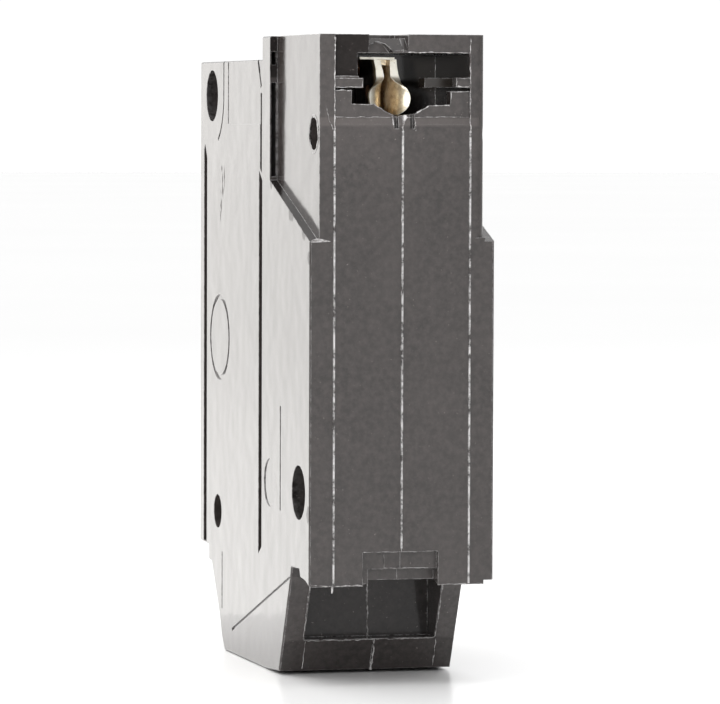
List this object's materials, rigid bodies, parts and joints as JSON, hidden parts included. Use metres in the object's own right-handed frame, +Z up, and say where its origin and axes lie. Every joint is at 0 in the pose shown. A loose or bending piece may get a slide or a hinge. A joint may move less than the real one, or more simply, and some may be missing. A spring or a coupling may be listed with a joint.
{
  "type": "circuit breaker",
  "caption": "Slim one-pole plug-in circuit breaker: moulded two-shell case, toggle handle, brass line jaw and hook at the back, box lug at the load end",
  "frame": {"origin": "on the surface that the load end stands on, under the middle of the part's box", "axes": "+Z up the case towards the line jaw, +Y out of the back face towards the panel, -Y out of the handle, X across the pole"},
  "size_m": [0.0254, 0.075, 0.0867],
  "materials": {
    "case": "satin moulded phenolic",
    "handle": "satin moulded",
    "brass": "stamped, bright",
    "copper": "stamped copper",
    "silver": "silver alloy contact",
    "steel": "plain steel",
    "zinc_steel": "zinc plated steel",
    "spring_steel": "drawn wire",
    "bimetal": "rolled strip",
    "fibre": "vulcanised fibre",
    "lug": "tin plated aluminium"
  },
  "bodies": {
    "case": {"case_right": "case", "case_left": "case", "rivets_large": "zinc_steel", "rivets_small": "zinc_steel", "fixed_contact": "silver", "line_strap": "brass", "line_jaw": "brass", "jaw_spring": "spring_steel", "cradle_pin": "steel", "armature_pin": "steel", "armature_spring": "spring_steel", "bimetal": "bimetal", "bimetal_rivet": "steel", "load_strap": "copper", "calibration_screw": "brass", "magnet_yoke": "steel", "flexible_braid": "copper", "over_centre_spring": "spring_steel", "terminal_lug": "lug", "arc_plates": "steel", "arc_chute_sides": "fibre"},
    "handle": {"handle": "handle"},
    "contact_arm": {"contact_arm": "copper", "moving_contact": "silver"},
    "cradle": {"cradle": "steel"},
    "armature": {"armature": "steel"},
    "pressure_plate": {"pressure_plate": "zinc_steel"},
    "terminal_screw": {"terminal_screw": "zinc_steel"}
  },
  "joints": [
    {"name": "handle_toggle", "type": "hinge", "parent": "case", "child": "handle", "pos_m": [0, -0.01857, 0.0519], "axis": [-1, 0, 0], "range_deg": [0, 32], "deforming": ["over_centre_spring", "flexible_braid"]},
    {"name": "contact_arm_swing", "type": "hinge", "parent": "handle", "child": "contact_arm", "pos_m": [0, -0.0081, 0.0549], "axis": [1, 0, 0], "range_deg": [0, 62], "deforming": ["over_centre_spring", "flexible_braid"]},
    {"name": "cradle_trip", "type": "hinge", "parent": "case", "child": "cradle", "pos_m": [0, -0.01007, 0.0734], "axis": [1, 0, 0], "range_deg": [0, 9], "deforming": ["over_centre_spring"]},
    {"name": "armature_pull", "type": "hinge", "parent": "case", "child": "armature", "pos_m": [0, 0.02203, 0.0312], "axis": [1, 0, 0], "range_deg": [0, 5.4], "deforming": ["armature_spring"]},
    {"name": "clamp_slide", "type": "slide", "parent": "case", "child": "pressure_plate", "axis": [0, 1, 0], "range_m": [0, 0.0045]},
    {"name": "terminal_screw_turn", "type": "hinge", "parent": "pressure_plate", "child": "terminal_screw", "pos_m": [0, -0.00757, 0.0099], "axis": [0, 1, 0], "range_deg": [0, 2025]}
  ],
  "couplings": [
    {"joint": "contact_arm_swing", "follows": "handle_toggle", "ratio": 1.9375},
    {"joint": "armature_pull", "follows": "cradle_trip", "ratio": 0.6},
    {"joint": "terminal_screw_turn", "follows": "clamp_slide", "rad_per_m": 7854}
  ]
}
